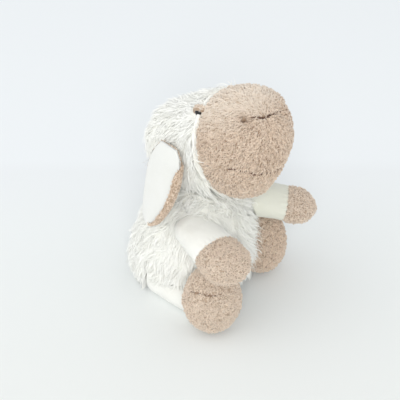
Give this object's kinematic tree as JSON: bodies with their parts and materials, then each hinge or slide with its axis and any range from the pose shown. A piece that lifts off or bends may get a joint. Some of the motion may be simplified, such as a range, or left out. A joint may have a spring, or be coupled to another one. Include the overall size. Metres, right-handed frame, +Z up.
{
  "type": "plush sheep",
  "caption": "Seated plush sheep: fur body and head, terry muzzle, hands and feet, velour sleeves, legs and hanging ears.",
  "frame": {"origin": "on the floor, under the seat of the torso", "axes": "+Z up, the sheep faces -Y, its left side is +X"},
  "size_m": [0.1421, 0.148, 0.2014],
  "materials": {
    "fur": "long matt pile",
    "terry": "looped matt pile",
    "velour": "short smooth pile",
    "stuffing": "matt",
    "thread": "matt",
    "eye": "gloss"
  },
  "bodies": {
    "torso": {"body_cover": "fur", "body_filling": "stuffing"},
    "neck": {"neck_filling": "stuffing"},
    "head": {"head_cover": "fur", "muzzle_cover": "terry", "head_filling": "stuffing", "nose_stitch": "thread", "mouth_stitch": "thread", "right_eye": "eye", "left_eye": "eye", "right_eyelid": "terry", "left_eyelid": "terry"},
    "right_ear": {"right_ear_outer": "velour", "right_ear_inner": "terry"},
    "right_arm": {"right_sleeve": "velour", "right_hand_cover": "terry", "right_arm_filling": "stuffing"},
    "right_leg": {"right_leg_cover": "velour", "right_leg_filling": "stuffing", "right_foot_cover": "terry", "right_foot_filling": "stuffing"},
    "left_ear": {"left_ear_outer": "velour", "left_ear_inner": "terry"},
    "left_arm": {"left_sleeve": "velour", "left_hand_cover": "terry", "left_arm_filling": "stuffing"},
    "left_leg": {"left_leg_cover": "velour", "left_leg_filling": "stuffing", "left_foot_cover": "terry", "left_foot_filling": "stuffing"}
  },
  "joints": [
    {"name": "neck_turn", "type": "hinge", "parent": "torso", "child": "neck", "pos_m": [0, 0.004, 0.139], "axis": [0, 0, 1], "range_deg": [-15, 15], "stiffness_Nm_per_rad": 0.3},
    {"name": "head_nod", "type": "hinge", "parent": "neck", "child": "head", "pos_m": [0, 0.004, 0.139], "axis": [-0.9986, 0.0523, 0], "range_deg": [-10, 12], "stiffness_Nm_per_rad": 0.9},
    {"name": "right_ear_flap", "type": "hinge", "parent": "head", "child": "right_ear", "pos_m": [-0.03963, -0.00614, 0.1589], "axis": [0.1915, 0.9815, 0], "range_deg": [0, 70]},
    {"name": "left_ear_flap", "type": "hinge", "parent": "head", "child": "left_ear", "pos_m": [0.03835, -0.01022, 0.1589], "axis": [0.0879, -0.9961, 0], "range_deg": [0, 70]},
    {"name": "right_arm_swing", "type": "hinge", "parent": "torso", "child": "right_arm", "pos_m": [-0.03101, -0.02403, 0.07963], "axis": [-0.8414, -0.3937, 0.3701], "range_deg": [0, 35], "stiffness_Nm_per_rad": 0.2},
    {"name": "left_arm_swing", "type": "hinge", "parent": "torso", "child": "left_arm", "pos_m": [0.03101, -0.02403, 0.07963], "axis": [-0.8414, 0.3937, -0.3701], "range_deg": [0, 35], "stiffness_Nm_per_rad": 0.2},
    {"name": "right_leg_spread", "type": "hinge", "parent": "torso", "child": "right_leg", "pos_m": [-0.034, 0.012, 0.011], "axis": [0, 0, -1], "range_deg": [0, 25], "stiffness_Nm_per_rad": 0.2},
    {"name": "left_leg_spread", "type": "hinge", "parent": "torso", "child": "left_leg", "pos_m": [0.034, 0.023, 0.011], "axis": [0, 0, 1], "range_deg": [0, 25], "stiffness_Nm_per_rad": 0.2}
  ]
}
